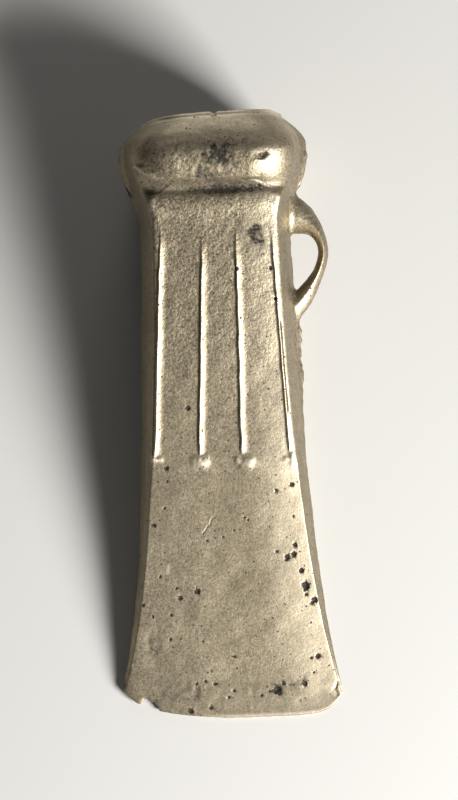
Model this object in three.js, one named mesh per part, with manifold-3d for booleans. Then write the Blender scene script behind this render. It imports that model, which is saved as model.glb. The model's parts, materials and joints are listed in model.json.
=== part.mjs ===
// A socketed bronze axe head, cast in one piece in a two-piece mould, lying on its back face.
// Millimetres, +Z up. The origin is on the surface it lies on, at the middle of its footprint.
//
// The axe's own frame, before it is laid down: x runs across the blade towards the side loop,
// y runs from the cutting edge (0) up to the mouth, and z runs through the thickness, with the
// mould's joint at z = 0.

import * as THREE from "three";
import { LoftGeometry } from "three/addons/geometries/LoftGeometry.js";
import { mergeVertices } from "three/addons/utils/BufferGeometryUtils.js";
import Module from "manifold-3d";

const { lerp, smoothstep } = THREE.MathUtils;

// Driving dimensions.
const LENGTH = 129.6; // cutting edge to mouth rim

const BODY = {
  neckY: 104, // where the straight body meets the collar's sides
  neckHalfWidth: 15.65,
  taper: 0.02, // half-width gained for each mm below the neck
  flare: 7.5, // how far the blade spreads past that straight taper
  flareLength: 25,
  neckHalfThickness: 14,
  edgeHalfThickness: 0.45,
  wedgePower: 1.08, // just over 1: the wedge is slightly hollow towards the edge
  draft: 0.3, // side slope from the face's edge out to the mould joint,
  sideWidth: 2.4, // which levels off at this width
  sideBow: 1.6, // over 1 bows the sides outwards
};

const EDGE = {
  cornerRise: 5, // the cutting edge turns up this much at its corners
  cornerPower: 9,
  wornCorner: 0.8, // the left corner turns up less, but the left half is worn more:
  wear: 1.9, // by this much at wearX
  wearX: 16.2,
  wearPower: 1.5,
  halfWidth: 23.8,
  fadeY: 30, // above this the rows of the surface are straight
  fadePower: 1.5,
  sideShift: 5.5, // the rows' ends lie this much further up at the very edge
};

const COLLAR = {
  faceFootY: 111.3, // neck line on the broad faces
  sideFootY: 105.5, // the same on the narrow sides, where it is softer
  cornerFromY: 110.3, // between these the section goes from sharp corners to round ones
  cornerToY: 115.5,
  crestY: 119.6,
  sideRise: 3.3,
  sideRimRise: -2,
  faceRise: 3.5,
  faceRimRise: -1.4,
  climbPower: 2.2, // how steeply the faces climb out of the neck
  bulgePower: 2.5, // how full the curve from the crest in to the rim is
  cornerCut: 7.5, // how far back from its corners the section starts to round,
  bodyCut: 0.3, // and how far on the body
  steeperSides: 0.75, // share of the body's side slope that is gone on the collar
};

// The ridge along the mould joint, on both narrow sides.
const JOINT = {
  ridge: 0.3,
  ridgeFromY: 4,
  ridgeToY: 30,
  collarRidge: 1.1,
  collarFromY: 106,
  collarToY: 117,
  rimFromY: 121,
  rimLoss: 0.95, // the collar's ridge is nearly gone at the rim
  fin: 1.15, // ragged fin below the loop
  finFromY: 60,
  finToY: 86,
  finTopY: [87, 91.5],
};

const RIBS = {
  topY: 104,
  fadeInY: 98,
  footY: 57.2,
  footLength: 1.2, // rounded end at the foot
  height: 0.6,
  halfWidth: 0.7,
  topX: [-11.3, -2.5, 4.6, 12.1],
  footX: [-14.4, -4.9, 4.1, 14.3],
};

const PELLETS = {
  y: 55.7,
  radiusY: 1.25,
  height: 0.9,
  radiusX: [1.1, 1.8, 1.8, 1.1],
};

const SOCKET = {
  // From the flat floor up past the rim: y, half-width, half-thickness.
  stations: [
    [45, 11, 2.6],
    [104, 12, 10.4],
    [LENGTH + 2, 12.3, 11.9],
  ],
  wallSlope: 0.3, // the side walls lean in this much towards the faces
  cornerCut: 4, // how far back from its corners the core is rounded,
  mostCut: 0.7, // but at most this share of its half-thickness
};

const LOOP = {
  // Centreline, from inside the collar's underside round to inside the body's side.
  path: [
    [13.8, 108.2],
    [19.3, 105.8],
    [21.7, 103.5],
    [22.95, 99.9],
    [22.3, 96.1],
    [20.7, 92.9],
    [18.4, 89.7],
    [13.6, 84.6],
  ],
  rootThickness: 12, // in the plane of the mould joint
  footThickness: 4,
  midThickness: 2.1,
  rootWidth: 7, // through the axe's thickness
  midWidth: 4.8,
  rootEnd: 0.45, // share of the path over which the upper root thins away,
  rootFade: 2.4, // and how soon
  footStart: 0.7,
  footFade: 1.3,
  steps: 26,
  sides: 12,
  ridgePower: 1.5, // under 2 gives the section a ridge along the mould joint
};

const CHIP = { x: -18.3, y: 2.85, radius: 2.1, depth: 6, sides: 7 };
const REST_FLAT_DEPTH = 0.12; // worn flat on the back of the collar, where the head lies

const BRONZE = new THREE.MeshStandardMaterial({
  color: 0x9a8358,
  roughness: 0.45,
  metalness: 1,
});

// Outer form, as functions of the station y.

const bodyHalfWidth = (y) =>
  BODY.neckHalfWidth +
  BODY.taper * (BODY.neckY - y) +
  BODY.flare * Math.exp(-y / BODY.flareLength);

const bodyHalfThickness = (y) =>
  lerp(
    BODY.edgeHalfThickness,
    BODY.neckHalfThickness,
    Math.pow(y / BODY.neckY, BODY.wedgePower),
  );

// The collar's swelling: nothing up to its foot, `rise` at the crest, then a bulge in to the rim.
function swelling(y, footY, rise, rimRise, climb) {
  if (y <= footY) return 0;
  if (y <= COLLAR.crestY) return rise * climb((y - footY) / (COLLAR.crestY - footY));
  const past = (y - COLLAR.crestY) / (LENGTH - COLLAR.crestY);
  return lerp(rise, rimRise, Math.pow(past, COLLAR.bulgePower));
}

const softClimb = (s) => s * s * (3 - 2 * s);
const sharpClimb = (s) => 1 - Math.pow(1 - s, COLLAR.climbPower);

function outerSize(y) {
  const bodyY = Math.min(y, COLLAR.sideFootY);
  const footThickness = bodyHalfThickness(Math.min(y, COLLAR.faceFootY));
  const share = smoothstep(y, COLLAR.cornerFromY, COLLAR.cornerToY);
  const halfWidth =
    bodyHalfWidth(bodyY) +
    swelling(y, COLLAR.sideFootY, COLLAR.sideRise, COLLAR.sideRimRise, softClimb);
  const halfThickness =
    footThickness +
    swelling(y, COLLAR.faceFootY, COLLAR.faceRise, COLLAR.faceRimRise, sharpClimb);
  const slope = BODY.sideWidth * Math.tanh((BODY.draft * bodyHalfThickness(bodyY)) / BODY.sideWidth);
  return {
    halfWidth,
    halfThickness,
    faceHalfWidth: halfWidth - slope * (1 - share * COLLAR.steeperSides),
    roundness: share,
    cut: lerp(COLLAR.bodyCut, COLLAR.cornerCut, share),
  };
}

// How far the mould joint's ridge stands out of the side. On the loop's side it carries on
// below the loop as a ragged fin.
function jointRidge(y, side) {
  const worn = 1 - JOINT.rimLoss * smoothstep(y, JOINT.rimFromY, LENGTH);
  const collar = JOINT.collarRidge * smoothstep(y, JOINT.collarFromY, JOINT.collarToY) * worn;
  const finEnd = 1 - smoothstep(y, ...JOINT.finTopY);
  const fin = side > 0 ? JOINT.fin * smoothstep(y, JOINT.finFromY, JOINT.finToY) * finEnd : 0;
  return JOINT.ridge * smoothstep(y, JOINT.ridgeFromY, JOINT.ridgeToY) + Math.max(collar, fin);
}

// How far the worn cutting edge has turned up at x.
function edgeRise(x) {
  const corner = EDGE.cornerRise * Math.pow(Math.abs(x) / EDGE.halfWidth, EDGE.cornerPower);
  const wear = EDGE.wear * Math.pow(-x / EDGE.wearX, EDGE.wearPower);
  return x < 0 ? EDGE.wornCorner * corner + wear : corner;
}

const edgeFade = (y) => Math.pow(Math.max(0, 1 - y / EDGE.fadeY), EDGE.fadePower);

// The places of the points round a section. A half section runs from the left mould joint
// over the front face to the right one: side, corner, face, corner, side.
const SIDE_STEPS = [1, 0.9, 0.6, 0.3]; // 1 at the mould joint, 0 at the face
const CORNER_STEPS = 5;
const PANEL_STEPS = [[0.25, 0.6], [0.3, 0.65], [0.5], [0.35, 0.7], [0.4, 0.75]];
const RIB_PROFILE = [
  [-1, 0],
  [-0.5, 0.75],
  [0, 1],
  [0.5, 0.75],
  [1, 0],
];

const ribX = (rib, y) =>
  lerp(RIBS.footX[rib], RIBS.topX[rib], (y - RIBS.footY) / (RIBS.topY - RIBS.footY));

const ribHeight = (y) =>
  RIBS.height *
  smoothstep(y, RIBS.footY - RIBS.footLength / 2, RIBS.footY + RIBS.footLength / 2) *
  (1 - smoothstep(y, RIBS.fadeInY, RIBS.topY));

// The face's points at y, inside ±reach: [x, height]. Each rib has a column on its crest and
// two on each flank, and the flat panels between the ribs have one or two.
function facePoints(y, reach) {
  const ribY = THREE.MathUtils.clamp(y, 0, RIBS.topY);
  const ribs = RIBS.topX.map((_, rib) =>
    RIB_PROFILE.map(([offset, share]) => [
      ribX(rib, ribY) + offset * RIBS.halfWidth,
      share * ribHeight(y),
    ]),
  );
  const feet = [-reach, ...ribs.flatMap((rib) => [rib[0][0], rib.at(-1)[0]]), reach];
  return PANEL_STEPS.flatMap((steps, panel) => [
    ...steps.map((step) => [lerp(feet[2 * panel], feet[2 * panel + 1], step), 0]),
    ...(ribs[panel] ?? []),
  ]);
}

// The half section for a size: points [x, z] with z >= 0, from the left joint to the right.
function halfSection(size, y, ridge = () => 0, ribbed = 0) {
  const { halfWidth, halfThickness, faceHalfWidth, roundness, cut } = size;
  const cutDown = cut * roundness;
  const sideTop = halfThickness - cutDown;
  const reach = faceHalfWidth - cut;
  const sideX = (q) =>
    faceHalfWidth + (halfWidth - faceHalfWidth) * (1 - Math.pow(1 - q, BODY.sideBow));
  const side = (sign) =>
    SIDE_STEPS.map((q) => [
      sign * (sideX(q) + (q === 1 ? ridge(y, sign) : 0)),
      sideTop * (1 - q),
    ]);
  const bend = new THREE.QuadraticBezierCurve(
    new THREE.Vector2(faceHalfWidth, sideTop),
    new THREE.Vector2(faceHalfWidth - ((1 - roundness) * cut) / 2, halfThickness),
    new THREE.Vector2(reach, halfThickness),
  );
  const corner = (sign) => bend.getPoints(CORNER_STEPS).map((p) => [sign * p.x, p.y]);
  const onFace = facePoints(y, reach);
  const face = onFace.map(([x, height], k) => {
    const even = lerp(-reach, reach, (k + 1) / (onFace.length + 1));
    return [lerp(x, even, roundness), halfThickness + ribbed * height * (1 - roundness)];
  });
  return [
    ...side(-1),
    ...corner(-1),
    ...face,
    ...corner(1).reverse(),
    ...side(1).reverse(),
  ];
}

// A whole ring: the front half, then the back half as its mirror image.
function ring(half, place) {
  const back = half
    .slice(1, -1)
    .reverse()
    .map(([x, z]) => [x, -z]);
  return [...half, ...back].map(([x, z]) => place(x, z));
}

function outerRing(y, flatten = 1) {
  const shapeY = y + EDGE.sideShift * edgeFade(y) ** 2;
  const size = { ...outerSize(shapeY), halfThickness: outerSize(y).halfThickness };
  return ring(
    halfSection(size, y, jointRidge, 1),
    (x, z) => new THREE.Vector3(x, y + edgeRise(x) * edgeFade(y), z * flatten),
  );
}

function socketRing([y, halfWidth, halfThickness]) {
  const size = {
    halfWidth,
    halfThickness,
    faceHalfWidth: halfWidth - SOCKET.wallSlope,
    roundness: 1,
    cut: Math.min(SOCKET.cornerCut, SOCKET.mostCut * halfThickness),
  };
  return ring(halfSection(size, y), (x, z) => new THREE.Vector3(x, y, z));
}

const BLADE_ROWS = [0, 2.5, 5.5, 9.5, 14.5, 20.5, 27.5, 36, 45, 52];
const RIB_ROWS = [56.6, 57.8, 64, 72, 80, 87, 91.5, 98, 101, RIBS.topY, 107, 109.3];
const COLLAR_ROWS = [111.3, 112.2, 113.4, 115, 117, 119.6, 122, 124.2, 126.2, 127.8, 129, LENGTH];

// The head without its socket, from the cutting edge to the mouth.
function outerForm() {
  const closedEdge = outerRing(0, 0); // front and back meet along the middle of the edge
  const rows = [...BLADE_ROWS, ...RIB_ROWS, ...COLLAR_ROWS].map((y) => outerRing(y));
  return new LoftGeometry([closedEdge, ...rows], { capEnd: true });
}

// The core that leaves the socket: a straight taper down to a flat floor.
function socketCore() {
  const rings = SOCKET.stations.map(socketRing);
  return new LoftGeometry(rings, { capStart: true, capEnd: true });
}

// The side loop: a band with a ridged section, swept along its path, thick at both roots.
function loopBand() {
  const path = new THREE.CatmullRomCurve3(
    LOOP.path.map(([x, y]) => new THREE.Vector3(x, y, 0)),
    false,
    "centripetal",
  );
  const rings = [];
  for (let i = 0; i <= LOOP.steps; i++) {
    const s = i / LOOP.steps;
    const centre = path.getPoint(s);
    const tangent = path.getTangent(s);
    const outward = new THREE.Vector3(tangent.y, -tangent.x, 0).negate();
    const toRoot = Math.pow(Math.max(0, 1 - s / LOOP.rootEnd), LOOP.rootFade);
    const pastMiddle = Math.max(0, s - LOOP.footStart) / (1 - LOOP.footStart);
    const toFoot = Math.pow(pastMiddle, LOOP.footFade);
    const thickness =
      LOOP.midThickness +
      (LOOP.rootThickness - LOOP.midThickness) * toRoot +
      (LOOP.footThickness - LOOP.midThickness) * toFoot;
    const width = lerp(LOOP.midWidth, LOOP.rootWidth, toRoot);
    const section = [];
    for (let k = 0; k < LOOP.sides; k++) {
      const turn = (2 * Math.PI * k) / LOOP.sides;
      const power = 2 / LOOP.ridgePower;
      const [c, w] = [Math.cos(turn), Math.sin(turn)];
      const out = Math.sign(c) * Math.pow(Math.abs(c), power) * (thickness / 2);
      const across = Math.sign(w) * Math.pow(Math.abs(w), power) * (width / 2);
      section.push(centre.clone().addScaledVector(outward, out).setZ(across));
    }
    rings.push(section);
  }
  return new LoftGeometry(rings, { capStart: true, capEnd: true });
}

// A round stud at the foot of a rib, half sunk in the face.
function pellet(x, radiusX, side) {
  const ball = new THREE.SphereGeometry(1, 12, 8);
  ball.scale(radiusX, PELLETS.radiusY, PELLETS.height);
  ball.translate(x, PELLETS.y, side * bodyHalfThickness(PELLETS.y));
  return ball;
}

const pellets = () =>
  [1, -1].flatMap((side) => RIBS.footX.map((x, rib) => pellet(x, PELLETS.radiusX[rib], side)));

// The broken-out notch beside the blade's left corner.
function chip() {
  const notch = new THREE.CylinderGeometry(CHIP.radius, CHIP.radius, CHIP.depth, CHIP.sides);
  notch.rotateX(Math.PI / 2);
  notch.translate(CHIP.x, CHIP.y, 0);
  return notch;
}

// The plane the head lies on: through the cutting edge and just inside the collar's crest.
const restHalfThickness = outerSize(COLLAR.crestY).halfThickness - REST_FLAT_DEPTH;
const REST_TILT = Math.atan((restHalfThickness - BODY.edgeHalfThickness) / COLLAR.crestY);

function belowRestPlane() {
  const size = 3 * LENGTH;
  const slab = new THREE.BoxGeometry(size, size, size);
  slab.translate(0, 0, -size / 2);
  slab.rotateX(-REST_TILT);
  slab.translate(0, 0, -BODY.edgeHalfThickness);
  return slab;
}

// Joining and cutting.

const wasm = await Module();
wasm.setup();

function solid(geometry) {
  const bare = new THREE.BufferGeometry();
  bare.setAttribute("position", geometry.getAttribute("position"));
  bare.setIndex(geometry.getIndex());
  const merged = mergeVertices(bare, 1e-4);
  const index = merged.getIndex().array;
  const triangles = [];
  for (let i = 0; i < index.length; i += 3) {
    const [a, b, c] = index.slice(i, i + 3);
    if (a !== b && b !== c && c !== a) triangles.push(a, b, c); // drops those merged flat
  }
  return new wasm.Manifold(
    new wasm.Mesh({
      numProp: 3,
      vertProperties: merged.getAttribute("position").array,
      triVerts: new Uint32Array(triangles),
    }),
  );
}

function geometryOf(manifold) {
  const mesh = manifold.getMesh();
  const geometry = new THREE.BufferGeometry();
  geometry.setAttribute("position", new THREE.BufferAttribute(mesh.vertProperties, 3));
  geometry.setIndex(new THREE.BufferAttribute(mesh.triVerts, 1));
  geometry.computeVertexNormals();
  return geometry;
}

function axeHead() {
  let casting = solid(outerForm()).add(solid(loopBand()));
  for (const stud of pellets()) casting = casting.add(solid(stud));
  for (const tool of [socketCore(), chip(), belowRestPlane()]) {
    casting = casting.subtract(solid(tool));
  }
  const mesh = new THREE.Mesh(geometryOf(casting), BRONZE);
  mesh.name = "axe_head";
  return mesh;
}

// Laid down on its back, with the middle of its footprint over the origin.
const head = axeHead();
head.rotation.x = REST_TILT;
head.position.z = BODY.edgeHalfThickness * Math.cos(REST_TILT);

const axe = new THREE.Group();
axe.add(head);
const footprint = new THREE.Box3().setFromObject(axe, true);
axe.position.x = -(footprint.min.x + footprint.max.x) / 2;
axe.position.y = -(footprint.min.y + footprint.max.y) / 2;

export default axe;
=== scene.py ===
"""The looks of a socketed bronze axe head, lying on its back face.

The head is one casting, so it is one mesh: a skin from the cutting edge up to the rim and down
inside the socket, with the side loop joined on and the ribs, studs, seams, dents and pits raised
or sunk in it. Shapes are in millimetres in the axe's own frame until they are laid down: x runs
across the blade towards the loop, y from the cutting edge to the mouth, and z through the
thickness, with the two moulds' joint at z = 0 and the face that shows at +z.
"""

import json
import math

import bmesh
import bpy
import numpy as np
from mathutils import Matrix, Vector, kdtree


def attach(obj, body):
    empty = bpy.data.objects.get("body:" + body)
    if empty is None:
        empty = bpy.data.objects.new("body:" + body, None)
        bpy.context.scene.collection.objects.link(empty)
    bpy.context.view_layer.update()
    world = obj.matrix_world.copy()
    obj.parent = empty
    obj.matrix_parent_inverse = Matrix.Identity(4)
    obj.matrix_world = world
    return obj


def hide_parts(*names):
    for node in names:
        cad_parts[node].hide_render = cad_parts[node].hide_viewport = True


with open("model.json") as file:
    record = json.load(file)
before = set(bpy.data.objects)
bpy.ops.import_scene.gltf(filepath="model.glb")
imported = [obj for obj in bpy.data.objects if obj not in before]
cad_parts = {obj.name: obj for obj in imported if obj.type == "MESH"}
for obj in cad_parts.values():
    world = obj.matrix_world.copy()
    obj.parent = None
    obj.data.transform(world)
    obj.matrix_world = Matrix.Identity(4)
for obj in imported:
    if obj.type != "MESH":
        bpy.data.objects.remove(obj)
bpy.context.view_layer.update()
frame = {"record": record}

MM = 0.001


# The axe's own frame, from the frame's mounts: both lie on the socket's axis, which is own +y.

MOUNTS = {mount["name"]: mount for mount in frame["record"]["mounts"]}
SOCKET_FLOOR_Y = 45.0
OWN_X = np.array([1.0, 0.0, 0.0])
OWN_Y = np.array(MOUNTS["socket_floor"]["axis"])
OWN_Z = np.cross(OWN_X, OWN_Y)
OWN_ORIGIN = np.array(MOUNTS["socket_floor"]["pos_m"]) - SOCKET_FLOOR_Y * MM * OWN_Y


def laid_down(points):
    """Own millimetres to metres where the head lies: the origin plus each own axis's share."""
    x, y, z = points[..., 0:1], points[..., 1:2], points[..., 2:3]
    return OWN_ORIGIN + MM * (x * OWN_X + y * OWN_Y + z * OWN_Z)


# Driving sizes, in millimetres.

LENGTH = 129.6

BODY = dict(neck_y=104, neck_half_width=15.65, taper=0.02, flare=7.5, flare_length=25,
            neck_half_thickness=14, edge_half_thickness=0.45, wedge_power=1.08,
            draft=0.3, side_width=2.4, side_bow=1.6, blade_arris=0.4, body_arris=1.15)

COLLAR = dict(face_foot=112.8, side_foot=105.5, round_from=110.3, round_to=115.5, crest=120.8,
              side_rise=3.3, side_rim_rise=-2.3, face_rise=3.5, face_rim_rise=-1.4,
              climb_power=2.2, bulge_power=2.5, face_drop=0.15, face_drop_share=0.33,
              face_fall_power=2.2, corner_cut=9.5, steeper_sides=0.45)

EDGE = dict(half_width=23.8, corner_rise=5.0, corner_power=9, worn_corner=0.8,
            wear=1.9, wear_x=16.2, wear_power=1.5, fade_y=30, fade_power=1.5, side_shift=5.5)

RIB_TOP_Y, RIB_FOOT_Y = 104.0, 57.2
RIB_TOP_X = np.array([-11.3, -2.5, 4.6, 12.1])
RIB_FOOT_X = np.array([-14.4, -4.9, 4.1, 14.3])
RIB_FADE_IN_Y = np.array([103.5, 101.5, 102.5, 103.0])
RIB_HEIGHT, RIB_CREST = 0.45, -0.25
RIB_STEEP_FOOT, RIB_EASY_FOOT = -0.65, 1.35  # the left flank is steeper than the right

# How proud the ridges on the mould joint are, and how wide.
JOINT = dict(collar=0.95, fin=1.15, seam=0.3, half_width=1.8)

SOCKET = dict(floor_half_width=11.0, floor_half_thickness=2.6, mouth_half_width=12.3,
              mouth_half_thickness=11.9, wall_slope=0.3, corner_cut=4.0)

LOOP_PATH = np.array([[13.8, 108.2], [19.3, 105.8], [21.7, 103.5], [22.95, 99.9], [22.3, 96.1],
                      [20.7, 92.9], [18.4, 89.7], [13.6, 84.6]])
LOOP = dict(thickness=2.35, width=4.8, root_thickness=12.0, root_width=7.0, foot_thickness=5.5,
            root_end=0.45, root_power=2.4, foot_start=0.62, foot_power=1.3, section_power=1.5)

CROWN = dict(middle=0.1, right_fall=0.75, left_fall=0.15)
GROOVE = dict(y=113.3, depth=0.8, half_width=1.2, hump_y=109.5, hump=0.2, hump_half_width=2.0)

# Layers of noise: height, size and seed. The first three are millimetres of relief, and the
# others bend the outlines of pits and blotches.
SWELL = ((0.14, 9, 1), (0.06, 3.2, 2))
GRAIN = ((0.02, 1.1, 3), (0.03, 0.6, 4))
CORROSION = ((0.22, 1.1, 5), (0.14, 0.6, 6))
PIT_OUTLINE = ((0.35, 0.5, 21), (0.2, 0.22, 22))
BLOTCH_OUTLINE = ((0.3, 1.5, 31), (0.25, 0.6, 32))

# How finely the skin is divided.
SIDE_COLUMNS, CORNER_COLUMNS = 12, 8
FACE_COLUMNS = (8, 26, 22, 24, 8)  # between the face's edges and the four ribs
BLADE_ROWS, BODY_ROWS, COLLAR_ROWS, RIM_ROWS, SOCKET_ROWS = 112, 86, 74, 12, 22


# Plain arithmetic on arrays.


def lerp(a, b, t):
    return a + (b - a) * t


def smoothstep(value, low, high):
    t = np.clip((value - low) / (high - low), 0, 1)
    return t * t * (3 - 2 * t)


def lattice(cells, seed):
    """A fixed number from -1 to 1 for each whole-numbered cell: its hashed coordinates."""
    mixed = (cells * np.array([73856093, 19349663, 83492791])).sum(-1) + seed * 374761393
    mixed = (mixed ^ (mixed >> 13)) & 0xFFFFFFFF
    mixed = (mixed * 1274126177) & 0xFFFFFFFF
    mixed = (mixed ^ (mixed >> 16)) & 0xFFFF
    return mixed / 32767.5 - 1


def rough(points, size, seed):
    """Smooth noise from -1 to 1 with lumps of about `size`: each point blends the eight corners
    of its lattice cell, with the blend eased so that the slope is nought at each corner."""
    cell = np.floor(points / size)
    t = points / size - cell
    t = t * t * (3 - 2 * t)
    cell = cell.astype(np.int64)
    total = 0
    for corner in np.ndindex(2, 2, 2):
        share = np.prod(np.where(corner, t, 1 - t), axis=-1)
        total = total + share * lattice(cell + np.array(corner), seed)
    return total


def layered(points, layers):
    """The sum of several layers of noise, each with its height, size and seed."""
    return sum(height * rough(points, size, seed) for height, size, seed in layers)


def bell(value, centre, half_width):
    """One at the centre, and next to nothing two half-widths away."""
    return np.exp(-(((value - centre) / half_width) ** 2))


def distance_to_line(x, y, line):
    """How far each point is from a line of straight runs, in the plane of the face."""
    nearest = np.full(x.shape, np.inf)
    for (ax, ay), (bx, by) in zip(line[:-1], line[1:]):
        run_x, run_y = bx - ax, by - ay
        along = np.clip(((x - ax) * run_x + (y - ay) * run_y) / (run_x**2 + run_y**2), 0, 1)
        nearest = np.minimum(nearest, np.hypot(x - ax - along * run_x, y - ay - along * run_y))
    return nearest


# The outer form, as functions of the station y.


def body_half_width(y):
    """A straight taper, spreading exponentially into the blade."""
    straight = BODY["neck_half_width"] + BODY["taper"] * (BODY["neck_y"] - y)
    return straight + BODY["flare"] * np.exp(-y / BODY["flare_length"])


def body_half_thickness(y):
    """A wedge from the edge to the neck, slightly hollow."""
    share = np.maximum(y, 0) / BODY["neck_y"]
    return lerp(BODY["edge_half_thickness"], BODY["neck_half_thickness"],
                share ** BODY["wedge_power"])


def swelling(y, foot, rise, rim_rise, climb, fall):
    """Nothing below the foot, `rise` at the crest by the curve `climb`, then in to `rim_rise`
    at the rim by the curve `fall`."""
    up = np.clip((y - foot) / (COLLAR["crest"] - foot), 0, 1)
    past = np.clip((y - COLLAR["crest"]) / (LENGTH - COLLAR["crest"]), 0, 1)
    return lerp(rise * climb(up), rim_rise, fall(past))


def soft_climb(t):
    return t * t * (3 - 2 * t)


def sharp_climb(t):
    return 1 - (1 - t) ** COLLAR["climb_power"]


def bulging_fall(t):
    return t ** COLLAR["bulge_power"]


def stepped_fall(t):
    """A quick drop just past the crest, then an easy slope on to the rim."""
    drop = smoothstep(t, 0, COLLAR["face_drop_share"])
    return lerp(t ** COLLAR["face_fall_power"], drop, COLLAR["face_drop"])


def outer_size(y):
    """Half-width, half-thickness, the face's half-width and the share of roundness at y."""
    body_y = np.minimum(y, COLLAR["side_foot"])
    round_share = smoothstep(y, COLLAR["round_from"], COLLAR["round_to"])
    half_width = body_half_width(body_y) + swelling(
        y, COLLAR["side_foot"], COLLAR["side_rise"], COLLAR["side_rim_rise"], soft_climb,
        bulging_fall)
    half_thickness = body_half_thickness(np.minimum(y, COLLAR["face_foot"])) + swelling(
        y, COLLAR["face_foot"], COLLAR["face_rise"], COLLAR["face_rim_rise"], sharp_climb,
        stepped_fall)
    slope = BODY["side_width"] * np.tanh(
        BODY["draft"] * body_half_thickness(body_y) / BODY["side_width"])
    face = half_width - slope * (1 - round_share * COLLAR["steeper_sides"])
    return half_width, half_thickness, face, round_share


def rib_x(y):
    """Where the four ribs' crests are at y: straight lines, carried on below their feet."""
    share = (np.minimum(y, RIB_TOP_Y) - RIB_FOOT_Y) / (RIB_TOP_Y - RIB_FOOT_Y)
    return lerp(RIB_FOOT_X, RIB_TOP_X, share[..., None])


def joint_ridge(y, side):
    """How far the ridge along the mould joint stands out: a low seam on the body, a stronger
    one round the collar, and a ragged fin of flash below the loop."""
    worn = 1 - 0.7 * smoothstep(y, 121, LENGTH)
    collar = JOINT["collar"] * smoothstep(y, 106, 117) * worn
    fin = JOINT["fin"] * smoothstep(y, 60, 86) * (1 - smoothstep(y, 89, 92.5)) * (side > 0)
    along = np.stack([y, 0 * y, 0 * y + side], axis=-1)
    ragged = 0.5 * rough(along, 1.6, 11) + 0.4 * rough(along, 0.7, 12)
    seam = JOINT["seam"] * smoothstep(y, 4, 30) * (1 + 0.5 * ragged)
    return seam + np.maximum(collar * (1 + 0.15 * ragged), fin * (1 + 0.8 * ragged))


def edge_fade(y):
    return np.maximum(0, 1 - y / EDGE["fade_y"]) ** EDGE["fade_power"]


def edge_rise(x):
    """How far the worn cutting edge has turned up at x: both corners by a high power of x, and
    the left half again where it is worn."""
    corner = EDGE["corner_rise"] * (np.abs(x) / EDGE["half_width"]) ** EDGE["corner_power"]
    wear = EDGE["wear"] * (np.maximum(-x, 0) / EDGE["wear_x"]) ** EDGE["wear_power"]
    return np.where(x < 0, EDGE["worn_corner"] * corner + wear, corner)


def half_section(size, face_x, ridges):
    """The front half of a section for every row at once, from the left mould joint over the
    face to the right one. Each side bows from the joint out to the face's edge, each corner is
    a quadratic curve, and the face is flat. The ridges stand on the joint and thin away."""
    width, thickness, face, cut, cut_down = size
    t = np.linspace(0, 1, SIDE_COLUMNS + 1)[:-1] ** 1.7
    s = np.linspace(0, 1, CORNER_COLUMNS + 1)
    side_z = (thickness - cut_down) * t
    side_x = face + (width - face) * (1 - t ** BODY["side_bow"])
    corner_x = face - cut * s**2
    corner_z = thickness - cut_down * (1 - s) ** 2
    proud = np.maximum(0, 1 - side_z / JOINT["half_width"]) ** 1.2
    left, right = (
        np.concatenate([side_x + ridge * proud, corner_x], axis=1) for ridge in ridges)
    half_z = np.concatenate([side_z, corner_z], axis=1)
    x = np.concatenate([-left, face_x, right[:, ::-1]], axis=1)
    z = np.concatenate([half_z, thickness + 0 * face_x, half_z[:, ::-1]], axis=1)
    return x, z


def face_columns(reach, ribs, round_share):
    """The columns across the face, inside plus and minus reach: between the ribs' lines on the
    body, closer together beside a rib, and evenly spread on the round collar."""
    knots = np.concatenate([-reach, ribs, reach], axis=1)
    spans = []
    for k, count in enumerate(FACE_COLUMNS):
        t = np.linspace(0, 1, count + 1)[1:] if k < 4 else np.linspace(0, 1, count + 1)[1:-1]
        bunch = 0.09 * np.sin(2 * np.pi * t) if 0 < k < 4 else 0
        spans.append(lerp(knots[:, k:k + 1], knots[:, k + 1:k + 2], t - bunch))
    followed = np.concatenate(spans, axis=1)
    even = reach * np.linspace(-1, 1, followed.shape[1] + 2)[None, 1:-1]
    return lerp(followed, even, round_share)


def outer_rows(y):
    """x, y and z of the front half of the outer skin's rows."""
    y = y[:, None]
    fade = edge_fade(y)
    width, _, face, round_share = outer_size(y + EDGE["side_shift"] * fade**2)
    thickness = outer_size(y)[1]
    closing = np.clip(1 - y / BODY["edge_half_thickness"], 0, 1)
    thickness = thickness * np.sqrt(1 - closing**2)
    arris = lerp(BODY["blade_arris"], BODY["body_arris"], smoothstep(y, 46, 64))
    cut = lerp(arris, COLLAR["corner_cut"], round_share)
    cut_down = np.minimum(cut, 0.6 * thickness)
    face_x = face_columns(face - cut, rib_x(y[:, 0]), round_share)
    ridges = [joint_ridge(y, side) for side in (-1, 1)]
    x, z = half_section((width, thickness, face, cut, cut_down), face_x, ridges)
    return x, y + edge_rise(x) * fade, z


def socket_rows(y):
    """x, y and z of the front half of the socket's rows: a straight taper to a flat floor."""
    share = ((y - SOCKET_FLOOR_Y) / (LENGTH - SOCKET_FLOOR_Y))[:, None]
    width = lerp(SOCKET["floor_half_width"], SOCKET["mouth_half_width"], share)
    thickness = lerp(SOCKET["floor_half_thickness"], SOCKET["mouth_half_thickness"], share)
    face = width - SOCKET["wall_slope"]
    cut = np.minimum(SOCKET["corner_cut"], 0.7 * thickness)
    round_share = np.ones_like(share)
    face_x = face_columns(face - cut, np.zeros((len(y), 4)), round_share)
    x, z = half_section((width, thickness, face, cut, cut), face_x, (0, 0))
    return x, y[:, None] + 0 * x, z


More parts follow.
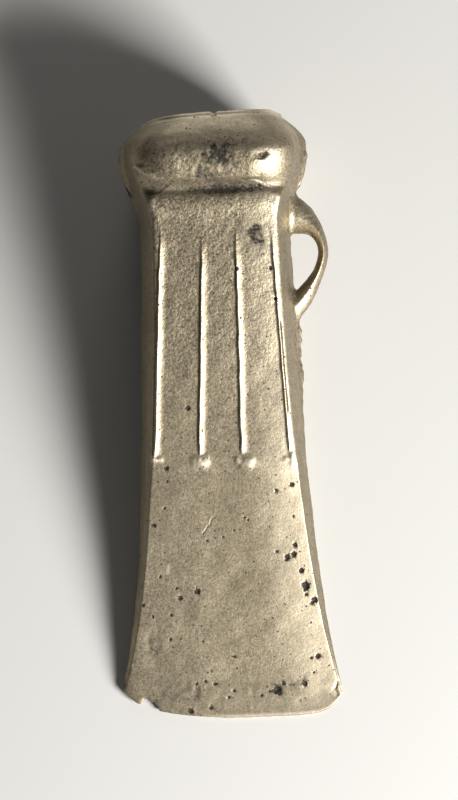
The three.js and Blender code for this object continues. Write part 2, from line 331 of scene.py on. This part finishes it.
def skin():
    """The whole skin as a grid of rings, own millimetres: up the outside, over a rounded rim,
    down the socket and across its floor. Its first and last rows lie on z = 0, which closes it."""
    edge_y = BODY["edge_half_thickness"] * (1 - np.cos(np.linspace(0, np.pi / 2, 5)))[:-1]
    lip = 0.8
    outer_y = np.concatenate([
        edge_y,
        np.linspace(BODY["edge_half_thickness"], RIB_FOOT_Y, BLADE_ROWS)[:-1],
        np.linspace(RIB_FOOT_Y, BODY["neck_y"], BODY_ROWS)[:-1],
        np.linspace(BODY["neck_y"], LENGTH - lip, COLLAR_ROWS),
    ])
    outer = outer_rows(outer_y)
    inner = socket_rows(np.linspace(LENGTH - lip, SOCKET_FLOOR_Y, SOCKET_ROWS))
    angle = np.linspace(0, np.pi, RIM_ROWS + 1)[1:-1, None]
    across = (1 - np.sign(np.cos(angle)) * np.abs(np.cos(angle)) ** 0.7) / 2
    rim_x, rim_z = (lerp(outer[axis][-1:], inner[axis][:1], across) for axis in (0, 2))
    rim = (rim_x, LENGTH - lip + lip * np.sin(angle) ** 0.7 + 0 * rim_x, rim_z)
    floor = tuple(part[-1:] * flat for part, flat in zip(inner, (1, 1, 0)))
    x, y, z = (np.concatenate(rows) for rows in zip(outer, rim, inner, floor))
    front = np.stack([x, y, z], axis=-1)
    back = front[:, -2:0:-1] * np.array([1, 1, -1])
    return np.concatenate([front, back], axis=1)


def ring_faces(rows, columns):
    """The quads between each row and the next, round closed rings."""
    index = np.arange(rows * columns).reshape(rows, columns)
    ahead = np.roll(index, -1, axis=1)
    quads = np.stack([index[:-1], ahead[:-1], ahead[1:], index[1:]], axis=-1)
    return quads.reshape(-1, 4)


def linked(thing):
    bpy.context.scene.collection.objects.link(thing)
    return thing


def mesh_from(name, points, faces):
    mesh = bpy.data.meshes.new(name)
    mesh.from_pydata(points.reshape(-1, 3), [], faces)
    mesh.update()
    return mesh


def loop_grid(steps=84, around=48):
    """The side loop: a ridged section carried along a smooth path in the mould joint's plane,
    thick where it springs from the collar, thin round the eye and thicker again at its foot.
    The path is a Catmull-Rom curve whose knots are spaced by the square root of distance."""
    before, after = 2 * LOOP_PATH[0] - LOOP_PATH[1], 2 * LOOP_PATH[-1] - LOOP_PATH[-2]
    path = np.vstack([before, LOOP_PATH, after])
    gap = np.linalg.norm(np.diff(path, axis=0), axis=1)[:, None] ** 0.5
    slope = np.diff(path, axis=0) / gap
    wide = (path[2:] - path[:-2]) / (gap[:-1] + gap[1:])
    inner = slope[:-1] - wide + slope[1:]
    share = np.linspace(0, 1, steps + 1)
    place = share * (len(LOOP_PATH) - 1)
    k = np.minimum(place.astype(int), len(LOOP_PATH) - 2)
    t = (place - k)[:, None]
    p0, p1 = LOOP_PATH[k], LOOP_PATH[k + 1]
    m0, m1 = inner[k] * gap[k + 1], inner[k + 1] * gap[k + 1]
    centre = ((2 * t**3 - 3 * t**2 + 1) * p0 + (t**3 - 2 * t**2 + t) * m0
              + (3 * t**2 - 2 * t**3) * p1 + (t**3 - t**2) * m1)
    run = ((6 * t**2 - 6 * t) * p0 + (3 * t**2 - 4 * t + 1) * m0
           + (6 * t - 6 * t**2) * p1 + (3 * t**2 - 2 * t) * m1)
    run /= np.linalg.norm(run, axis=1, keepdims=True)
    outward = np.stack([-run[:, 1], run[:, 0]], axis=1)
    to_root = np.maximum(0, 1 - share / LOOP["root_end"]) ** LOOP["root_power"]
    past_start = np.maximum(0, share - LOOP["foot_start"]) / (1 - LOOP["foot_start"])
    to_foot = past_start ** LOOP["foot_power"]
    thickness = (LOOP["thickness"] + (LOOP["root_thickness"] - LOOP["thickness"]) * to_root
                 + (LOOP["foot_thickness"] - LOOP["thickness"]) * to_foot)
    width = lerp(LOOP["width"], LOOP["root_width"], to_root)
    squareness = 2 / LOOP["section_power"]
    turn = np.linspace(0, 2 * np.pi, around, endpoint=False)[None]
    out = np.sign(np.cos(turn)) * np.abs(np.cos(turn)) ** squareness * thickness[:, None] / 2
    z = np.sign(np.sin(turn)) * np.abs(np.sin(turn)) ** squareness * width[:, None] / 2
    x = centre[:, :1] + outward[:, :1] * out
    y = centre[:, 1:] + outward[:, 1:] * out
    return np.stack([x, y, z], axis=-1)


def skin_object():
    """The skin as a closed object in own millimetres."""
    grid = skin()
    rows, columns = grid.shape[:2]
    mesh = mesh_from("axe_skin", grid, ring_faces(rows, columns))
    made = bmesh.new()
    made.from_mesh(mesh)
    bmesh.ops.remove_doubles(made, verts=made.verts, dist=1e-4)
    bmesh.ops.recalc_face_normals(made, faces=made.faces)
    made.to_mesh(mesh)
    made.free()
    return linked(bpy.data.objects.new("axe_skin", mesh))


def loop_object():
    grid = loop_grid()
    rows, columns = grid.shape[:2]
    index = np.arange(rows * columns).reshape(rows, columns)
    faces = ring_faces(rows, columns).tolist() + [index[0][::-1].tolist(), index[-1].tolist()]
    mesh = mesh_from("axe_loop", grid, faces)
    made = bmesh.new()
    made.from_mesh(mesh)
    bmesh.ops.recalc_face_normals(made, faces=made.faces)
    made.to_mesh(mesh)
    made.free()
    return linked(bpy.data.objects.new("axe_loop", mesh))


def joined(body, part):
    """The union of two closed objects, as a plain mesh. Both objects are removed."""
    union = body.modifiers.new("join", "BOOLEAN")
    union.operation = "UNION"
    union.object = part
    union.solver = "EXACT"
    dressed = body.evaluated_get(bpy.context.evaluated_depsgraph_get())
    mesh = bpy.data.meshes.new_from_object(dressed)
    bpy.data.objects.remove(part)
    bpy.data.objects.remove(body)
    return mesh


# Marks on the surface, in own millimetres on the face that shows. A pit is x, y, radius.

PITS = [
    (-7.3, 66.8, 0.5), (-12.3, 54.2, 0.45), (14.3, 49.7, 0.45), (10.9, 48.5, 0.35),
    (-15.5, 42.1, 0.4), (-13.1, 45.7, 0.25), (3.9, 43.1, 0.25), (14.4, 36.8, 0.45),
    (14.1, 34.8, 0.55), (12.7, 34.1, 0.55), (10.5, 35.5, 0.3), (15.6, 31.2, 0.55),
    (16.4, 27.9, 0.8), (16.5, 26.0, 0.3), (18.3, 24.8, 0.6), (17.7, 24.2, 0.4),
    (-6.9, 27.6, 0.55), (-10.4, 26.3, 0.4), (-11.2, 28.4, 0.25), (-18.5, 25.1, 0.4),
    (-16.5, 22.5, 0.25), (-12.9, 17.5, 0.3), (18.4, 12.6, 0.5), (17.1, 12.3, 0.3),
    (0.7, 13.2, 0.3), (15.5, 6.8, 0.5), (9.4, 5.8, 0.85), (9.9, 5.0, 0.45),
    (10.9, 7.1, 0.35), (-5.8, 8.2, 0.3), (-3.8, 7.6, 0.3), (0.2, 6.0, 0.32),
    (-0.9, 4.5, 0.3), (6.1, 4.7, 0.25), (-9.2, 1.7, 0.5), (-4.8, 2.3, 0.35),
    (4.3, 96.0, 0.35), (11.4, 95.7, 0.35), (12.2, 89.3, 0.35), (10.9, 119.4, 0.7),
    (4.6, 42.5, 0.22), (-0.9, 39.1, 0.22), (1.5, 40.4, 0.2), (-4.3, 38.4, 0.22),
    (14.3, 42.9, 0.28), (-14.6, 31.0, 0.25), (-12.5, 22.7, 0.28), (-7.7, 7.7, 0.25),
    (7.9, 5.5, 0.25), (17.5, 9.2, 0.25), (-12.3, 51.4, 0.25), (-6.0, 16.8, 0.22),
]

# Studs at the ribs' feet, cast as pairs of lobes: x, y, half-width, half-height, height.

STUDS = [
    (-15.1, 56.2, 0.9, 0.9, 0.3), (-13.7, 56.1, 0.8, 0.7, 0.15),
    (-6.0, 55.4, 1.3, 1.4, 0.22), (-4.3, 55.3, 1.4, 1.4, 0.24),
    (3.1, 55.3, 1.0, 0.9, 0.18), (5.0, 54.8, 1.8, 1.5, 0.3),
    (14.6, 55.7, 0.9, 1.8, 0.3), (13.3, 55.3, 0.8, 0.7, 0.15),
]

# Scratch, crease, cracks and scuff, as points along each line.

WORM_SCRATCH = [(-5.2, 40.0), (-4.5, 40.7), (-4.1, 41.5), (-3.5, 41.8), (-3.4, 42.5),
                (-3.1, 43.1), (-2.4, 43.4)]
COLLAR_CREASE = [(-16.2, 118.3), (-14.2, 116.9), (-12.1, 115.5)]
ABOVE_CREASE = [(cx + 0.35, cy + 0.55) for cx, cy in COLLAR_CREASE]
COLLAR_CRACK = [(6.1, 114.2), (9.4, 114.4), (10.2, 115.1), (10.3, 116.4)]
SCUFF = [(-12.9, 31.6), (-12.8, 33.4)]
CORNER_CRACK = [(22.4, 4.2), (21.9, 5.4), (22.6, 7.0)]

# Where the surface is stained or corroded, and a band of painted shade across the collar: x, y,
# half-width, half-height, strength.

STAINS_AND_SHADE = [
    (1.2, 119.6, 4.4, 4.0, 0.75), (-1.8, 116.0, 2.8, 2.2, 0.6), (2.0, 112.9, 9.0, 1.9, 0.55),
    # The long narrow band at y 122.2 across the whole collar is painted shade.
    (8.6, 102.7, 1.9, 3.0, 0.7), (0.0, 122.2, 15.0, 1.5, 0.4), (7.0, 102.5, 4.5, 5.5, 0.25),
    (-16.5, 16.3, 2.0, 3.5, 0.4), (-11.0, 6.0, 5.5, 3.5, 0.4), (13.7, 6.6, 3.0, 2.5, 0.4),
    (9.6, 6.0, 2.4, 1.8, 0.35), (2.0, 3.0, 26.0, 9.0, 0.18), (-21.0, 13.5, 1.2, 2.0, 0.5),
]


def near_marks(x, y):
    """How far a point of the face is from the nearest small mark, past that mark's own size."""
    nearest = np.full(x.shape, np.inf)
    for px, py, radius in PITS:
        nearest = np.minimum(nearest, np.hypot(x - px, y - py) - radius)
    for sx, sy, half_width, half_height, _ in STUDS:
        nearest = np.minimum(nearest, np.hypot(x - sx, y - sy) - max(half_width, half_height))
    for line in (WORM_SCRATCH, COLLAR_CREASE, COLLAR_CRACK, CORNER_CRACK):
        nearest = np.minimum(nearest, distance_to_line(x, y, line))
    return nearest


def refined(mesh):
    """Divides the faces beside small marks by three each way, so that the marks are crisp."""
    made = bmesh.new()
    made.from_mesh(mesh)
    centres = np.array([face.calc_center_median() for face in made.faces])
    facing = np.array([face.normal.z for face in made.faces])
    close = (near_marks(centres[:, 0], centres[:, 1]) < 0.35) & (facing > 0.4)
    made.faces.ensure_lookup_table()
    edges = {edge for k in np.flatnonzero(close) for edge in made.faces[k].edges}
    edges = sorted(edges, key=lambda edge: edge.index)
    bmesh.ops.subdivide_edges(made, edges=edges, cuts=2, use_grid_fill=True)
    made.to_mesh(mesh)
    made.free()


def arrays_of(mesh):
    """The mesh's points and the surface's outward directions there, as arrays."""
    points = np.empty(len(mesh.vertices) * 3, np.float32)
    normals = np.empty(len(mesh.vertices) * 3, np.float32)
    mesh.vertices.foreach_get("co", points)
    mesh.vertex_normals.foreach_get("vector", normals)
    return points.reshape(-1, 3).astype(float), normals.reshape(-1, 3).astype(float)


def neighbour_mean(points, edges, count):
    """For each vertex, the mean of the points that share an edge with it."""
    total = np.zeros_like(points)
    for a, b in ((0, 1), (1, 0)):
        for axis in range(points.shape[1]):
            total[:, axis] += np.bincount(edges[:, a], points[edges[:, b], axis], len(points))
    return total / count[:, None]


def edges_of(mesh):
    edges = np.empty(len(mesh.edges) * 2, np.int32)
    mesh.edges.foreach_get("vertices", edges)
    edges = edges.reshape(-1, 2)
    return edges, np.maximum(np.bincount(edges.ravel(), minlength=len(mesh.vertices)), 1)


def by_loop(points):
    """The indices of the points round the places where the loop meets the head."""
    return np.flatnonzero((points[:, 0] > 12) & (points[:, 1] > 80) & (points[:, 1] < 118))


def filleted(points, edges, count, seams):
    """Softens the corner where the loop meets the head: 18 times over, each point near the seam
    moves towards the mean of its neighbours, less the further it is from the seam."""
    region = by_loop(points)
    gaps = np.linalg.norm(points[region, None] - seams[None], axis=-1).min(axis=1)
    share = np.zeros(len(points))
    share[region] = 0.6 * (1 - smoothstep(gaps, 0.4, 1.8))
    for _ in range(18):
        points = points + share[:, None] * (neighbour_mean(points, edges, count) - points)
    return points


def seam_points(points, sources):
    """The points of the union that neither object had: the curve where they cross."""
    tree = kdtree.KDTree(len(sources))
    for k, source in enumerate(sources):
        tree.insert(source, k)
    tree.balance()
    return np.array([p for p in points[by_loop(points)] if tree.find(p)[2] > 2e-3])


def rib_relief(x, y, points):
    """Four ribs, each a low ridge with a steep left flank and an easy, hollow right one, fading
    in below the collar and ending in a round foot. They waver a little, as they were cast."""
    off = x[:, None] + 0.12 * rough(points, 2.5, 61)[:, None] - rib_x(y)
    left = smoothstep(off, RIB_STEEP_FOOT, RIB_CREST)
    right = np.clip((RIB_EASY_FOOT - off) / (RIB_EASY_FOOT - RIB_CREST), 0, 1) ** 2.0
    foot = smoothstep(y, RIB_FOOT_Y - 0.8, RIB_FOOT_Y + 0.4)[:, None]
    top = 1 - smoothstep(y[:, None], RIB_FADE_IN_Y - 7, RIB_FADE_IN_Y + 3)
    height = RIB_HEIGHT * (left * right * foot * top).max(axis=1)
    return height * (1 + 0.15 * rough(points, 1.4, 62))


def stud_relief(x, y, points, front):
    """Low soft lumps in pairs that run together. The back's studs are single and rounder."""
    uneven = 1 + 0.4 * rough(points, 0.9, 63)
    height = np.zeros(x.shape)
    for sx, sy, half_width, half_height, tall in STUDS:
        off = ((x - sx) / half_width) ** 2 + ((y - sy) / half_height) ** 2
        height = height + front * tall * np.exp(-1.5 * (off * uneven) ** 1.3)
    for sx in RIB_FOOT_X:
        off = ((x - sx) / 1.6) ** 2 + ((y - 55.7) / 1.3) ** 2
        height = np.maximum(height, (1 - front) * 0.5 * np.maximum(0, 1 - off * uneven))
    return height


def pit_depth(x, y, points):
    """Round-bottomed holes with uneven outlines, as a share of their depth and in mm."""
    uneven = 1 + layered(points, PIT_OUTLINE)
    share, depth = np.zeros(x.shape), np.zeros(x.shape)
    for px, py, radius in PITS:
        off = np.hypot(x - px, y - py) / radius * uneven
        inside = np.clip(1.15 - off, 0, 1) ** 0.6
        share = np.maximum(share, np.clip(1.4 - off, 0, 1))
        depth = np.maximum(depth, 0.55 * radius * inside)
    return np.clip(share, 0, 1), depth


def stain_and_shade_share(x, y, points):
    """Soft uneven blotches: stains, and a band of painted shade across the collar."""
    share = np.zeros(x.shape)
    for sx, sy, half_width, half_height, strength in STAINS_AND_SHADE:
        off = np.hypot((x - sx) / half_width, (y - sy) / half_height)
        off = off + layered(points, BLOTCH_OUTLINE)
        share = np.maximum(share, strength * (1 - smoothstep(off, 0.4, 1.15)))
    return share


def rim_fall(x, y, z, points):
    """How far the worn, broken rim falls short of the full length: less towards the loop's
    side, with a nick and small breaks at the very rim, most of them in the left corner."""
    fall = np.interp(x, [-16, -8, -1, 6, 13, 16.5], [1.5, 0.7, 0.3, 0.15, 0.0, 0.5])
    nick = 0.5 * bell(x, 0.6, 0.5) * (z > 0)
    breaks = 0.12 + 0.35 * smoothstep(-x, 9, 14)
    chips = np.abs(rough(points, 1.3, 41)) + 0.5 * np.abs(rough(points, 0.6, 42))
    at_rim = smoothstep(y, LENGTH - 1.6, LENGTH - 0.5)
    return fall * smoothstep(y, 121, LENGTH) + (nick + breaks * chips) * at_rim


def edge_breaks(x, y, points):
    """How far the cutting edge is broken back: a notch beside the left corner, and small chips.
    It fades out within a few millimetres of the edge."""
    notch = np.interp(x, [-20.6, -19.9, -18.8, -18.2, -16.8, -16.4, -16.0],
                      [0, 0.3, 2.2, 1.9, 1.3, 1.1, 0])
    along = np.stack([x, 0 * x, 0 * x], axis=-1)
    breaks = notch * (1 + 0.15 * rough(along, 0.5, 51)) + 0.09 * np.abs(rough(along, 0.9, 52))
    return breaks * np.clip(1 - (y - edge_rise(x)) / 4, 0, 1) ** 1.5


def on_outside(points, normals):
    """False on the socket's walls and floor, which lie within its mouth and face inwards."""
    x, y, z = points.T
    walls = (np.abs(x) < SOCKET["mouth_half_width"] + 0.1) & (y > SOCKET_FLOOR_Y - 1)
    return ~(walls & (np.abs(z) < SOCKET["mouth_half_thickness"] + 0.1) & (normals[:, 2] * z < 0))


def share_across(x, y):
    """How far a point lies across the face: from -1 at its left edge to 1 at its right."""
    return np.clip(x / outer_size(y)[2], -1, 1)


def crown_rise(x, y, z):
    """How far z grows or shrinks so that each face falls away towards its edges, more to the
    right. The back of the collar stays flat, because the head rests on it."""
    across = share_across(x, y)
    crown = CROWN["middle"] - np.where(
        x > 0, CROWN["right_fall"] * across**3, CROWN["left_fall"] * across**2)
    crown = crown * np.where(z < 0, 1 - smoothstep(y, 112, 118), 1)
    return crown * smoothstep(y, 0.3, 6) * z / outer_size(y)[1]


def neck_groove(y):
    """The groove under the collar and the low hump below it."""
    hump = GROOVE["hump"] * bell(y, GROOVE["hump_y"], GROOVE["hump_half_width"])
    return hump - GROOVE["depth"] * bell(y, GROOVE["y"], GROOVE["half_width"])


def line_marks(x, y, points, face):
    """What the scratch, the crease, the cracks and the scuff on the front do to each point: relief
    in millimetres; darkening, from the cracks' own stain and painted shade above the crease; and
    paleness, from a painted highlight along the crease and wear on the scuff."""
    def near(path, half_width):
        return bell(distance_to_line(x, y, path), 0, half_width) * (points[:, 2] > 0)

    crack = near(COLLAR_CRACK, 0.22) * (0.6 + 0.4 * rough(points, 0.8, 23))
    corner = near(CORNER_CRACK, 0.25) * face
    relief = (0.3 * (near(COLLAR_CREASE, 0.4) - near(ABOVE_CREASE, 0.4)) - 0.3 * crack
              - 0.2 * corner - 0.07 * near(WORM_SCRATCH, 0.13) * face)
    # Painted shade on the strip above the crease and a painted highlight along the crease itself;
    # the cracks' dark is their own stain, and the scuff's paleness is wear.
    stain_and_shade = 0.7 * crack + 0.5 * corner + 0.6 * near(ABOVE_CREASE, 0.25)
    wear_and_highlight = 0.9 * near(COLLAR_CREASE, 0.3) + 0.9 * near(SCUFF, 0.3)
    return relief, stain_and_shade, wear_and_highlight


def rib_foot_painted_shade(x, y):
    """Painted shade: a thin dark line where each rib's steep flank meets the panel to its left."""
    line = bell(x[:, None] - rib_x(y), RIB_STEEP_FOOT - 0.05, 0.12).max(axis=1)
    return 0.6 * line * (y > RIB_FOOT_Y - 0.2) * (y < 101)


def wear_and_painted_light(x, y, face):
    """Metal painted paler: the cutting edge, worn bright; a painted highlight on the rim's lip and
    painted light on the collar's band below it; and painted light on the face's right, where the
    key light falls.
    """
    edges = 1 - smoothstep(y, 0.4, 1.0) + smoothstep(y, LENGTH - 1.6, LENGTH - 0.9)
    # Painted light on the face's right, the side the key light comes from.
    painted_light_right = 0.35 * smoothstep(share_across(x, y), 0.3, 0.9) * face
    return edges + 0.3 * smoothstep(y, 122.8, 126) + painted_light_right


def dressed(points, normals):
    """Raises and sinks the relief along the surface's own directions. Returns the points, and for
    each how much stain and painted shade darken it, how much wear and painted light brighten it,
    and how coarse it is."""
    x, y, z = points.T
    front = (z > 0).astype(float)
    level = np.abs(normals[:, 2])
    outside = on_outside(points, normals)
    face = smoothstep(level, 0.6, 0.9) * outside

    ribs = rib_relief(x, y, points) * face
    studs = stud_relief(x, y, points, front) * face
    pits_share, pits = (part * face * front for part in pit_depth(x, y, points))
    stains_and_shade = stain_and_shade_share(x, y, points) * face * front
    lines, lines_stain_and_shade, lines_wear_and_highlight = line_marks(x, y, points, face)
    groove = neck_groove(y) * outside * smoothstep(level, 0.2, 0.95)
    coarse = 0.25 + 0.75 * smoothstep(y, 45, 105)
    grain = coarse * layered(points, GRAIN)
    corroded = stains_and_shade * (layered(points, CORROSION) - 0.1)
    relief = (np.maximum(ribs, studs) - pits + lines + layered(points, SWELL) + grain
              + corroded + groove)
    relief = relief * (0.3 + 0.7 * smoothstep(y, 0.3, 2.5))
    moved = points + normals * relief[:, None]
    moved[:, 2] += crown_rise(x, y, z) * outside
    moved[:, 1] += edge_breaks(x, y, moved) - rim_fall(x, y, z, moved)

    stain_and_shade = 2.5 * pits_share + stains_and_shade + lines_stain_and_shade - 2.5 * (grain + corroded)
    # Painted shade in the groove under the collar.
    painted_neck_shade = 0.5 * bell(y, 112.6, 1.0) * smoothstep(level, 0.2, 0.7) * outside
    stain_and_shade = np.clip(stain_and_shade + painted_neck_shade, 0, 2.5)
    # Painted shade: a thin dark line at each rib's left foot.
    stain_and_shade = np.maximum(stain_and_shade, rib_foot_painted_shade(x, y) * face)
    # Raised ribs and studs are paler; the crease, the rim and the face's right get painted
    # highlights and painted light.
    wear_and_highlight = 0.35 * ribs / RIB_HEIGHT + studs / 0.25 + lines_wear_and_highlight + wear_and_painted_light(x, y, face)
    wear_and_highlight = np.clip(wear_and_highlight, 0, 1) * outside
    coarse = coarse * (1 - 0.6 * smoothstep(y, 120, 124)) * outside
    return moved, stain_and_shade, wear_and_highlight, coarse


def axe_mesh():
    skin_piece, loop_piece = skin_object(), loop_object()
    sources = [v.co.copy() for piece in (skin_piece, loop_piece) for v in piece.data.vertices
               if v.co.x > 11 and 78 < v.co.y < 120]
    mesh = joined(skin_piece, loop_piece)
    points, _ = arrays_of(mesh)
    seams = seam_points(points, sources)
    edges, count = edges_of(mesh)
    points = filleted(points, edges, count, seams)
    mesh.vertices.foreach_set("co", points.ravel())
    mesh.update()
    refined(mesh)
    points, normals = arrays_of(mesh)
    points, stain_and_shade, wear_and_highlight, coarse = dressed(points, normals)
    row = laid_down(points)
    row[:, 2] = np.maximum(row[:, 2], 0)
    mesh.vertices.foreach_set("co", row.ravel())
    # The first of these attributes also carries painted shade, and the second painted highlights
    # and painted light.
    for name, values in (("stain_and_shade", stain_and_shade), ("wear_and_highlight", wear_and_highlight), ("coarse", coarse)):
        layer = mesh.attributes.new(name, "FLOAT", "POINT")
        layer.data.foreach_set("value", values.astype(np.float32))
    mesh.shade_smooth()
    mesh.update()
    return mesh


# Materials.


def colour(hex_value):
    """An sRGB hex colour as the linear numbers that shaders take."""
    parts = [int(hex_value[k:k + 2], 16) / 255 for k in (1, 3, 5)]
    return [p / 12.92 if p <= 0.04045 else ((p + 0.055) / 1.055) ** 2.4 for p in parts] + [1.0]


def node(tree, kind, inputs=None, **settings):
    """Adds a node with its settings, and sets each input to a value or links it to a socket."""
    made = tree.nodes.new(kind)
    for name, value in settings.items():
        setattr(made, name, value)
    for name, value in (inputs or {}).items():
        if isinstance(value, bpy.types.NodeSocket):
            tree.links.new(value, made.inputs[name])
        else:
            made.inputs[name].default_value = value
    return made


def blended(tree, share, low, high):
    """A colour between two, by a share."""
    made = node(tree, "ShaderNodeMix", data_type="RGBA")
    for name, value in ((0, share), (6, low), (7, high)):
        if isinstance(value, bpy.types.NodeSocket):
            tree.links.new(value, made.inputs[name])
        else:
            made.inputs[name].default_value = value
    return made.outputs[2]


def ranged(tree, value, low, high, to_low, to_high):
    return node(tree, "ShaderNodeMapRange", {
        "Value": value, "From Min": low, "From Max": high, "To Min": to_low, "To Max": to_high,
    }).outputs[0]


def arithmetic(tree, operation, a, b):
    made = node(tree, "ShaderNodeMath", operation=operation)
    for slot, value in ((0, a), (1, b)):
        if isinstance(value, bpy.types.NodeSocket):
            tree.links.new(value, made.inputs[slot])
        else:
            made.inputs[slot].default_value = value
    return made.outputs[0]


def grains(tree, place, size_mm, detail=2.0, roughness=0.5):
    """Noise whose lumps are about size_mm across."""
    return node(tree, "ShaderNodeTexNoise", {
        "Vector": place, "Scale": 1 / (size_mm * MM * 2), "Detail": detail, "Roughness": roughness,
    }).outputs["Fac"]


# The palest colour serves worn metal and also painted highlights and painted light; the darkest
# serves stains, pits and patina and also painted shade.
BRONZE = dict(pale="#B3A78F", dull="#8C806A", mottled="#7D715D", clouded="#827660",
              flecked="#51483A", worn="#C6BAA2", stained_and_shaded="#2B251C")


def pinholes(tree, place):
    """Dark specks up to about half a millimetre across, in a third of the 0.9 mm cells."""
    cells = node(tree, "ShaderNodeTexVoronoi", {"Vector": place, "Scale": 1 / (0.9 * MM)})
    chance = node(tree, "ShaderNodeSeparateColor", {"Color": cells.outputs["Color"]})
    size = ranged(tree, chance.outputs[0], 0.5, 1, -0.1, 0.27)
    past = arithmetic(tree, "SUBTRACT", cells.outputs["Distance"], size)
    return ranged(tree, past, 0, 0.05, 0.85, 0)


def cast_tin_bronze():
    """Old cast tin bronze, cleaned and handled: satin metal with the grain of the mould and of
    corrosion, dull brown patina in the hollows and stains, painted shade in the neck's groove, at
    the ribs' feet, above the crease and across the collar, brighter metal where it is worn, and
    painted highlights and painted light on the rim, the crease and the face's right.
    The finest grain is drawn at 0.16 mm, because anything finer would not show."""
    material = bpy.data.materials.new("cast_tin_bronze")
    material.use_nodes = True
    tree = material.node_tree
    shader = tree.nodes["Principled BSDF"]
    place = node(tree, "ShaderNodeTexCoord").outputs["Object"]
    stain_and_shade, wear_and_highlight, coarse = (
        node(tree, "ShaderNodeAttribute", attribute_name=name).outputs["Fac"]
        for name in ("stain_and_shade", "wear_and_highlight", "coarse"))
    fine = grains(tree, place, 0.16, 2.0, 0.6)
    grit = grains(tree, place, 0.3, 2.0, 0.6)
    mottle = grains(tree, place, 0.9, 2.0, 0.6)
    cloud = grains(tree, place, 5.0, 3.0, 0.5)
    paint = {name: colour(value) for name, value in BRONZE.items()}

    tone = blended(tree, ranged(tree, fine, 0.35, 0.65, 0, 1), paint["dull"], paint["pale"])
    tone = blended(tree, ranged(tree, mottle, 0.4, 0.65, 0, 0.4), tone, paint["mottled"])
    tone = blended(tree, ranged(tree, cloud, 0.35, 0.65, 0, 0.35), tone, paint["clouded"])
    flecks = arithmetic(tree, "MULTIPLY", ranged(tree, grit, 0.36, 0.5, 0.5, 0), coarse)
    tone = blended(tree, flecks, tone, paint["flecked"])
    # Paler where worn, and with painted highlights and painted light.
    tone = blended(tree, wear_and_highlight, tone, paint["worn"])
    # Darker with stains, pits and patina, and with painted shade.
    uneven = arithmetic(tree, "MULTIPLY", stain_and_shade, ranged(tree, grit, 0.35, 0.65, 0.45, 1.5))
    dark = arithmetic(tree, "MAXIMUM", ranged(tree, uneven, 0, 1, 0, 1), pinholes(tree, place))
    tone = blended(tree, dark, tone, paint["stained_and_shaded"])
    tree.links.new(tone, shader.inputs["Base Color"])
    tree.links.new(ranged(tree, dark, 0, 1, 1.0, 0.45), shader.inputs["Metallic"])
    sheen = arithmetic(tree, "ADD", ranged(tree, grit, 0.3, 0.7, 0.46, 0.56),
                       ranged(tree, dark, 0, 1, 0, 0.25))
    tree.links.new(sheen, shader.inputs["Roughness"])

    lumps = arithmetic(tree, "MULTIPLY", arithmetic(tree, "ADD", grit, mottle),
                       ranged(tree, coarse, 0.25, 1, 0.3, 1))
    height = arithmetic(tree, "ADD", lumps, arithmetic(tree, "MULTIPLY", fine, 0.2))
    bump = node(tree, "ShaderNodeBump", {"Height": height, "Strength": 1.0, "Distance": 0.09 * MM})
    tree.links.new(bump.outputs[0], shader.inputs["Normal"])
    return material


def pale_floor():
    """Plain pale matt board."""
    material = bpy.data.materials.new("pale_board")
    material.use_nodes = True
    shader = material.node_tree.nodes["Principled BSDF"]
    shader.inputs["Base Color"].default_value = colour("#BDBBB6")
    shader.inputs["Roughness"].default_value = 0.9
    return material


def axe_head():
    piece = linked(bpy.data.objects.new("bronze_axe_head", axe_mesh()))
    piece.data.materials.append(cast_tin_bronze())
    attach(piece, "root")
    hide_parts("axe_head")
    return piece


# The setting: floor, lights and camera.

PICTURE_TURN = math.radians(2.2)  # the head leans this much to the left in the picture
AIM = np.array([1.55, 68.2, 0.0])
CAMERA_DISTANCE = 900.0
FRAME_HEIGHT = 171.6  # own millimetres that the picture's height takes in, at the mould joint


def camera():
    """Looks straight down the head's thickness, with its length up the picture."""
    lens = bpy.data.cameras.new("camera")
    lens.sensor_width = 36.0
    lens.lens = lens.sensor_width * CAMERA_DISTANCE / FRAME_HEIGHT
    lens.clip_end = 10
    right = math.cos(PICTURE_TURN) * OWN_X - math.sin(PICTURE_TURN) * OWN_Y
    up = math.sin(PICTURE_TURN) * OWN_X + math.cos(PICTURE_TURN) * OWN_Y
    place = laid_down(AIM + np.array([0, 0, CAMERA_DISTANCE]))
    made = linked(bpy.data.objects.new("camera", lens))
    turned = Matrix((right, up, OWN_Z)).transposed().to_4x4()
    made.matrix_world = Matrix.Translation(Vector(place)) @ turned
    bpy.context.scene.camera = made


def soft_light(name, place, target, size, watts):
    """A square soft box at `place`, facing `target`, both in metres."""
    lamp = bpy.data.lights.new(name, "AREA")
    lamp.size = size
    lamp.energy = watts
    made = linked(bpy.data.objects.new(name, lamp))
    direction = Vector(target) - Vector(place)
    turned = direction.to_track_quat("-Z", "Y").to_matrix().to_4x4()
    made.matrix_world = Matrix.Translation(Vector(place)) @ turned


def studio():
    mesh = mesh_from("floor", np.array([[-2, -2, 0], [2, -2, 0], [2, 2, 0], [-2, 2, 0]]),
                     [(0, 1, 2, 3)])
    floor = linked(bpy.data.objects.new("floor", mesh))
    mesh.materials.append(pale_floor())
    world = bpy.data.worlds.new("studio")
    bpy.context.scene.world = world
    world.use_nodes = True
    world.node_tree.nodes["Background"].inputs["Color"].default_value = colour("#E8E8E8")
    world.node_tree.nodes["Background"].inputs["Strength"].default_value = 0.075
    soft_light("key", (0.58, -0.48, 0.42), (0, 0, 0.02), 0.34, 22.5)
    soft_light("mouth_fill", (0.0, 0.5, 0.2), (0, 0.05, 0.02), 0.25, 0.5)
    bpy.context.scene.view_settings.view_transform = "Standard"


camera()
axe_head()
studio()
